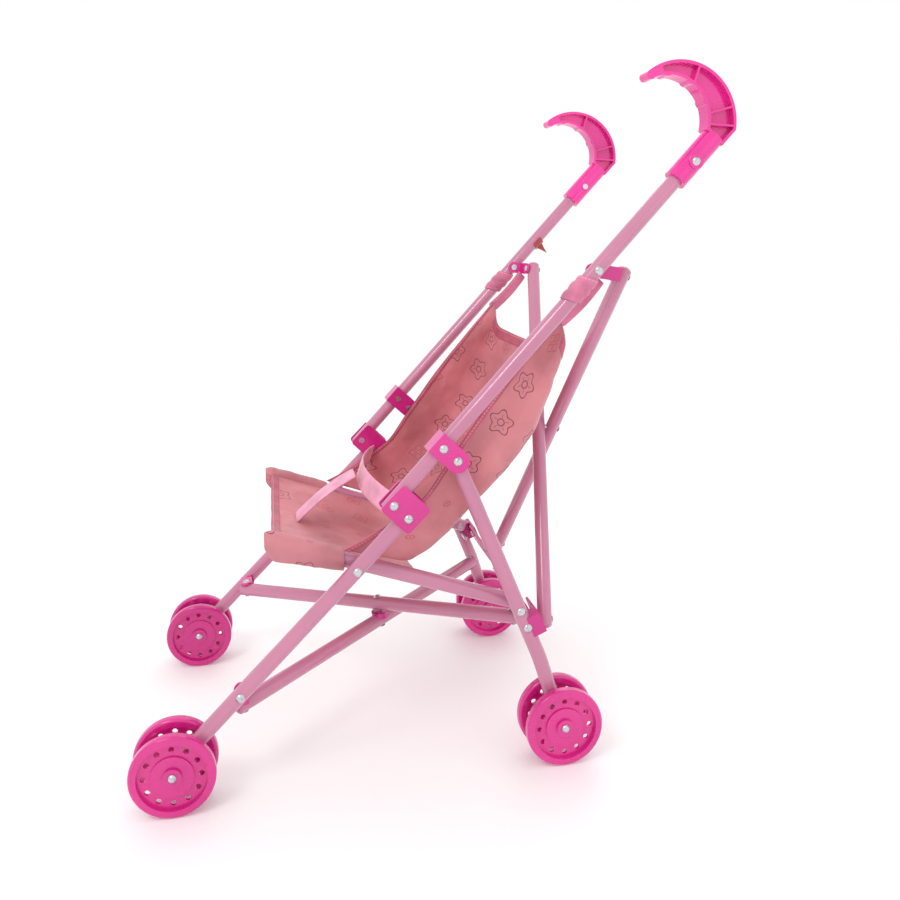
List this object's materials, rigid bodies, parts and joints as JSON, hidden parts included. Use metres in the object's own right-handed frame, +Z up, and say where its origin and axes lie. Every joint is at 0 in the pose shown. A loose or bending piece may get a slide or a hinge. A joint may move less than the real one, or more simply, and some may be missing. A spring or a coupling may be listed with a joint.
{
  "type": "doll stroller",
  "caption": "Folding doll stroller with curved handles, crossed tube frame, paired wheels and a hanging cloth seat with a lap belt.",
  "frame": {"origin": "centre of the bounding box on the floor", "axes": "+Z up along the stroller's height; the front and the seat's open side face -Y; +X is the stroller's own left side, along the axles"},
  "size_m": [0.2532, 0.4738, 0.5547],
  "materials": {
    "tube_paint": "smooth gloss paint, pale mauve pink",
    "bracket_plastic": "moulded, hot pink, soft gloss",
    "handle_plastic": "moulded, hot pink, soft gloss",
    "wheel_plastic": "moulded, hot pink, gloss",
    "rivet_steel": "bright domed steel",
    "printed_cloth": "thin printed woven nylon, salmon pink",
    "harness_web": "soft webbing, light pink",
    "red_plastic": "moulded, red"
  },
  "bodies": {
    "push_left": {"push_tube_left": "tube_paint", "handle_left": "handle_plastic", "pivot_bracket_left": "bracket_plastic", "push_rivets_left": "rivet_steel", "corner_strap_left": "printed_cloth", "back_sling": "printed_cloth"},
    "push_right": {"push_tube_right": "tube_paint", "handle_right": "handle_plastic", "pivot_bracket_right": "bracket_plastic", "push_rivets_right": "rivet_steel", "corner_strap_right": "printed_cloth", "red_clip": "red_plastic"},
    "front_left": {"front_leg_left": "tube_paint", "knee_bracket_left": "bracket_plastic", "front_rivets_left": "rivet_steel", "front_axle_left": "rivet_steel"},
    "rear_left": {"rear_leg_left": "tube_paint", "rear_mount_left": "bracket_plastic", "rear_rivets_left": "rivet_steel", "rear_axle_left": "rivet_steel"},
    "seat_left": {"seat_tube_left": "tube_paint", "seat_rivet_left": "rivet_steel", "seat_sling": "printed_cloth", "lap_belt": "harness_web", "crotch_strap": "harness_web"},
    "top_bracket_left": {"top_bracket_left": "bracket_plastic"},
    "back_cross_left": {"back_cross_tube_left": "tube_paint", "back_cross_rivets_left": "rivet_steel"},
    "front_bracket_left": {"front_bracket_left": "bracket_plastic"},
    "bottom_cross_left": {"bottom_cross_tube_left": "tube_paint", "bottom_cross_rivets_left": "rivet_steel", "bottom_cross_spacer": "bracket_plastic"},
    "brace_left": {"brace_arm_left": "bracket_plastic", "brace_rivet": "rivet_steel"},
    "front_right": {"front_leg_right": "tube_paint", "knee_bracket_right": "bracket_plastic", "front_rivets_right": "rivet_steel", "front_axle_right": "rivet_steel"},
    "rear_right": {"rear_leg_right": "tube_paint", "rear_mount_right": "bracket_plastic", "rear_rivets_right": "rivet_steel", "rear_axle_right": "rivet_steel"},
    "seat_right": {"seat_tube_right": "tube_paint", "seat_rivet_right": "rivet_steel"},
    "top_bracket_right": {"top_bracket_right": "bracket_plastic"},
    "back_cross_right": {"back_cross_tube_right": "tube_paint", "back_cross_rivets_right": "rivet_steel"},
    "front_bracket_right": {"front_bracket_right": "bracket_plastic"},
    "bottom_cross_right": {"bottom_cross_tube_right": "tube_paint", "bottom_cross_rivets_right": "rivet_steel"},
    "brace_right": {"brace_arm_right": "bracket_plastic"},
    "wheel_front_outer_left": {"wheel_front_outer_left": "wheel_plastic"},
    "wheel_front_inner_left": {"wheel_front_inner_left": "wheel_plastic"},
    "wheel_front_outer_right": {"wheel_front_outer_right": "wheel_plastic"},
    "wheel_front_inner_right": {"wheel_front_inner_right": "wheel_plastic"},
    "wheel_rear_outer_left": {"wheel_rear_outer_left": "wheel_plastic"},
    "wheel_rear_inner_left": {"wheel_rear_inner_left": "wheel_plastic"},
    "wheel_rear_outer_right": {"wheel_rear_outer_right": "wheel_plastic"},
    "wheel_rear_inner_right": {"wheel_rear_inner_right": "wheel_plastic"}
  },
  "joints": [
    {"name": "fold", "type": "slide", "parent": "push_left", "child": "push_right", "axis": [1, 0, 0], "range_m": [0, 0.122], "deforming": ["back_sling", "seat_sling", "lap_belt", "crotch_strap"]},
    {"name": "front_fold_left", "type": "hinge", "parent": "push_left", "child": "front_left", "pos_m": [0.109, -0.03765, 0.22101], "axis": [1, 0, 0], "range_deg": [-166.33, 0]},
    {"name": "rear_fold_left", "type": "hinge", "parent": "push_left", "child": "rear_left", "pos_m": [0.109, 0.01192, 0.25217], "axis": [1, 0, 0], "range_deg": [-65.01, 0]},
    {"name": "seat_fold_left", "type": "hinge", "parent": "front_left", "child": "seat_left", "pos_m": [0.109, -0.06586, 0.17101], "axis": [1, 0, 0], "range_deg": [0, 69.93]},
    {"name": "top_turn_left", "type": "hinge", "parent": "push_left", "child": "top_bracket_left", "pos_m": [0.109, 0.12467, 0.39507], "axis": [1, 0, 0], "range_deg": [-28.82, 0]},
    {"name": "back_cross_left", "type": "hinge", "parent": "top_bracket_left", "child": "back_cross_left", "pos_m": [0.0895, 0.1551, 0.38998], "axis": [0, -0.9844, 0.1759], "range_deg": [0, 22.11]},
    {"name": "front_turn_left", "type": "hinge", "parent": "front_left", "child": "front_bracket_left", "pos_m": [0.109, -0.15538, 0.08149], "axis": [1, 0, 0], "range_deg": [0, 40.68]},
    {"name": "bottom_cross_left", "type": "hinge", "parent": "front_bracket_left", "child": "bottom_cross_left", "pos_m": [0.0895, -0.15442, 0.06285], "axis": [0, 0.1242, -0.9923], "range_deg": [0, 27.32]},
    {"name": "brace_left", "type": "hinge", "parent": "rear_left", "child": "brace_left", "pos_m": [0.093, 0.06836, 0.11319], "axis": [0, 0.9265, 0.3762], "range_deg": [-69.88, 0]},
    {"name": "front_fold_right", "type": "hinge", "parent": "push_right", "child": "front_right", "pos_m": [-0.109, -0.03765, 0.22101], "axis": [1, 0, 0], "range_deg": [-166.33, 0]},
    {"name": "rear_fold_right", "type": "hinge", "parent": "push_right", "child": "rear_right", "pos_m": [-0.109, 0.01192, 0.25217], "axis": [1, 0, 0], "range_deg": [-65.01, 0]},
    {"name": "seat_fold_right", "type": "hinge", "parent": "front_right", "child": "seat_right", "pos_m": [-0.109, -0.06586, 0.17101], "axis": [1, 0, 0], "range_deg": [0, 69.93]},
    {"name": "top_turn_right", "type": "hinge", "parent": "push_right", "child": "top_bracket_right", "pos_m": [-0.109, 0.12467, 0.39507], "axis": [1, 0, 0], "range_deg": [-28.82, 0]},
    {"name": "back_cross_right", "type": "hinge", "parent": "top_bracket_right", "child": "back_cross_right", "pos_m": [-0.0895, 0.14191, 0.39234], "axis": [0, -0.9844, 0.1759], "range_deg": [-22.11, 0]},
    {"name": "front_turn_right", "type": "hinge", "parent": "front_right", "child": "front_bracket_right", "pos_m": [-0.109, -0.15538, 0.08149], "axis": [1, 0, 0], "range_deg": [0, 40.68]},
    {"name": "bottom_cross_right", "type": "hinge", "parent": "front_bracket_right", "child": "bottom_cross_right", "pos_m": [-0.0895, -0.15634, 0.07813], "axis": [0, 0.1242, -0.9923], "range_deg": [-27.32, 0]},
    {"name": "brace_right", "type": "hinge", "parent": "rear_right", "child": "brace_right", "pos_m": [-0.093, 0.06836, 0.11319], "axis": [0, 0.9265, 0.3762], "range_deg": [0, 69.88]},
    {"name": "wheel_front_outer_left_spin", "type": "hinge", "parent": "front_left", "child": "wheel_front_outer_left", "pos_m": [0.109, -0.20537, 0.0315], "axis": [1, 0, 0], "continuous": true},
    {"name": "wheel_front_inner_left_spin", "type": "hinge", "parent": "front_left", "child": "wheel_front_inner_left", "pos_m": [0.109, -0.20537, 0.0315], "axis": [1, 0, 0], "continuous": true},
    {"name": "wheel_front_outer_right_spin", "type": "hinge", "parent": "front_right", "child": "wheel_front_outer_right", "pos_m": [-0.109, -0.20537, 0.0315], "axis": [1, 0, 0], "continuous": true},
    {"name": "wheel_front_inner_right_spin", "type": "hinge", "parent": "front_right", "child": "wheel_front_inner_right", "pos_m": [-0.109, -0.20537, 0.0315], "axis": [1, 0, 0], "continuous": true},
    {"name": "wheel_rear_outer_left_spin", "type": "hinge", "parent": "rear_left", "child": "wheel_rear_outer_left", "pos_m": [0.109, 0.09663, 0.0315], "axis": [1, 0, 0], "continuous": true},
    {"name": "wheel_rear_inner_left_spin", "type": "hinge", "parent": "rear_left", "child": "wheel_rear_inner_left", "pos_m": [0.109, 0.09663, 0.0315], "axis": [1, 0, 0], "continuous": true},
    {"name": "wheel_rear_outer_right_spin", "type": "hinge", "parent": "rear_right", "child": "wheel_rear_outer_right", "pos_m": [-0.109, 0.09663, 0.0315], "axis": [1, 0, 0], "continuous": true},
    {"name": "wheel_rear_inner_right_spin", "type": "hinge", "parent": "rear_right", "child": "wheel_rear_inner_right", "pos_m": [-0.109, 0.09663, 0.0315], "axis": [1, 0, 0], "continuous": true}
  ],
  "couplings": [
    {"joint": "front_fold_left", "follows": "fold", "rad_per_m": -23.793},
    {"joint": "rear_fold_left", "follows": "fold", "rad_per_m": -9.2989},
    {"joint": "seat_fold_left", "follows": "fold", "rad_per_m": 10.003},
    {"joint": "top_turn_left", "follows": "fold", "rad_per_m": -4.1209},
    {"joint": "back_cross_left", "follows": "fold", "rad_per_m": 3.161},
    {"joint": "front_turn_left", "follows": "fold", "rad_per_m": 5.8186},
    {"joint": "bottom_cross_left", "follows": "fold", "rad_per_m": 3.9069},
    {"joint": "brace_left", "follows": "fold", "rad_per_m": -9.9962},
    {"joint": "front_fold_right", "follows": "fold", "rad_per_m": -23.793},
    {"joint": "rear_fold_right", "follows": "fold", "rad_per_m": -9.2989},
    {"joint": "seat_fold_right", "follows": "fold", "rad_per_m": 10.003},
    {"joint": "top_turn_right", "follows": "fold", "rad_per_m": -4.1209},
    {"joint": "back_cross_right", "follows": "fold", "rad_per_m": -3.161},
    {"joint": "front_turn_right", "follows": "fold", "rad_per_m": 5.8186},
    {"joint": "bottom_cross_right", "follows": "fold", "rad_per_m": -3.9069},
    {"joint": "brace_right", "follows": "fold", "rad_per_m": 9.9962}
  ]
}
